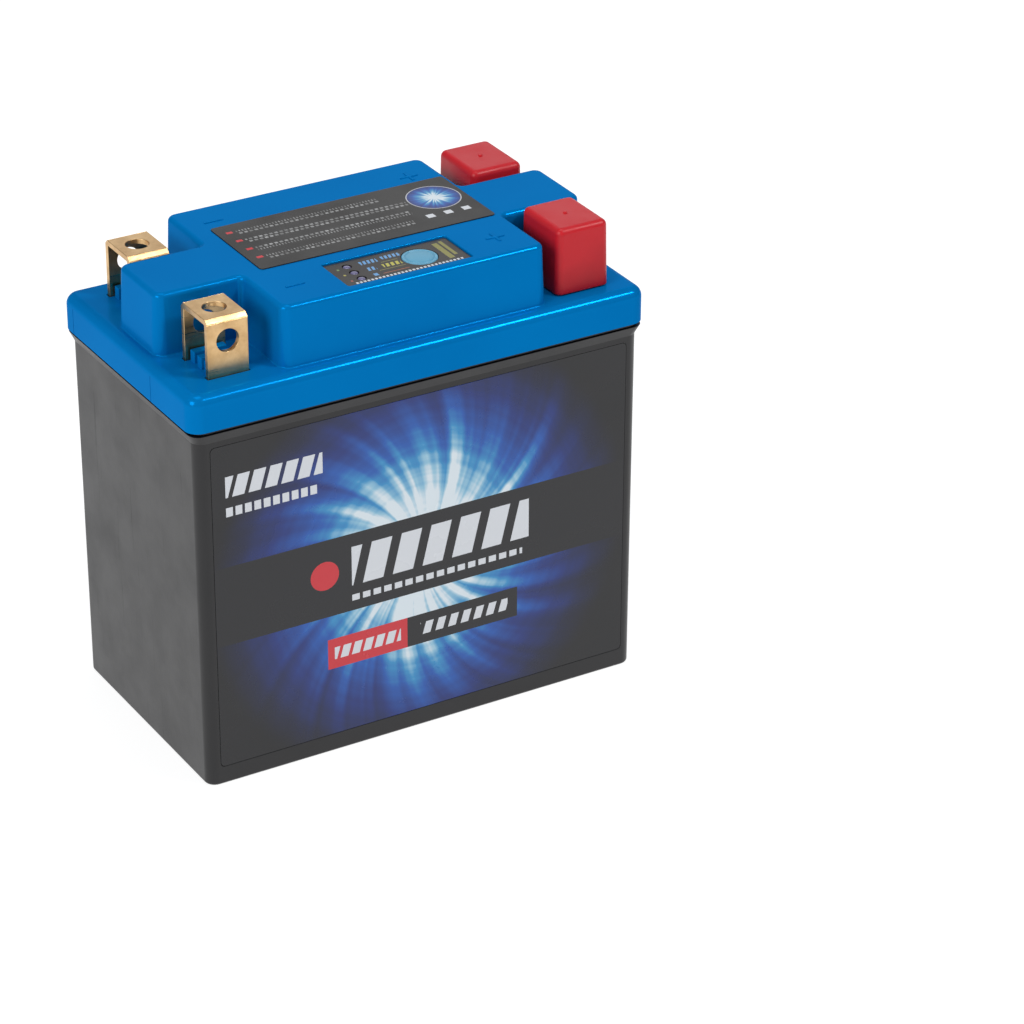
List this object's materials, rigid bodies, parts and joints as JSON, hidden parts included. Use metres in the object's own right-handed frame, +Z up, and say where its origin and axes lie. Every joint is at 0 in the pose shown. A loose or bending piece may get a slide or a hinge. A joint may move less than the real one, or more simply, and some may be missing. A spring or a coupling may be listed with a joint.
{
  "type": "motorcycle battery",
  "caption": "Upright motorcycle starting battery with a dark case, a blue lid, bent brass terminals, red terminal caps and a charge indicator.",
  "frame": {"origin": "centre of the base, on the plane the battery stands on", "axes": "+X along the long front face towards the positive terminals, +Y to the back face, +Z up"},
  "size_m": [0.135, 0.076, 0.1333],
  "materials": {
    "case_plastic": "moulded, fine grain",
    "black_plastic": "moulded",
    "lid_plastic": "glossy moulded",
    "terminal_brass": "formed, lightly brushed",
    "cap_rubber": "soft, satin",
    "front_print": "printed film",
    "top_print": "printed film",
    "panel_plastic": "printed panel",
    "button_plastic": "moulded, pale blue",
    "led_lens": "clear lens",
    "circuit_board": "coated laminate",
    "cell_wrap": "shrink sleeve",
    "foam": "soft foam",
    "nickel": "plated strip",
    "screw_steel": "zinc plated",
    "black_wire": "insulated lead",
    "red_wire": "insulated lead"
  },
  "bodies": {
    "battery": {"case": "case_plastic", "seam_seal": "black_plastic", "lid": "lid_plastic", "terminal_negative_front": "terminal_brass", "terminal_negative_rear": "terminal_brass", "terminal_positive_front": "terminal_brass", "terminal_positive_rear": "terminal_brass", "label_front": "front_print", "label_top": "top_print", "indicator_panel": "panel_plastic", "indicator_led_full": "led_lens", "indicator_led_middle": "led_lens", "indicator_led_low": "led_lens", "indicator_board": "circuit_board", "test_switch": "black_plastic", "cell_1": "cell_wrap", "cell_2": "cell_wrap", "cell_3": "cell_wrap", "cell_4": "cell_wrap", "cell_tray_lower": "black_plastic", "cell_tray_upper": "black_plastic", "foam_pad_front": "foam", "foam_pad_rear": "foam", "cell_link_1_2": "nickel", "cell_link_2_3": "nickel", "cell_link_3_4": "nickel", "cell_tab_negative": "nickel", "cell_tab_positive": "nickel", "balance_board": "circuit_board", "balance_chip": "black_plastic", "board_screw_1": "screw_steel", "board_screw_2": "screw_steel", "board_screw_3": "screw_steel", "board_screw_4": "screw_steel", "strap_negative": "nickel", "strap_positive": "nickel", "lead_negative": "black_wire", "lead_positive": "red_wire", "sense_wire_1": "red_wire", "sense_wire_2": "red_wire", "sense_wire_3": "red_wire", "indicator_cable": "black_wire"},
    "button": {"test_button": "button_plastic"},
    "front_cap": {"terminal_cap_front": "cap_rubber"},
    "rear_cap": {"terminal_cap_rear": "cap_rubber"}
  },
  "joints": [
    {"name": "test_button_press", "type": "slide", "parent": "battery", "child": "button", "axis": [0, 0, -1], "range_m": [0, 0.0005], "stiffness_N_per_m": 1200, "springref_m": -0.0002},
    {"name": "front_cap_lift", "type": "slide", "parent": "battery", "child": "front_cap", "axis": [0, 0, 1], "range_m": [0, 0.03]},
    {"name": "rear_cap_lift", "type": "slide", "parent": "battery", "child": "rear_cap", "axis": [0, 0, 1], "range_m": [0, 0.03]}
  ]
}
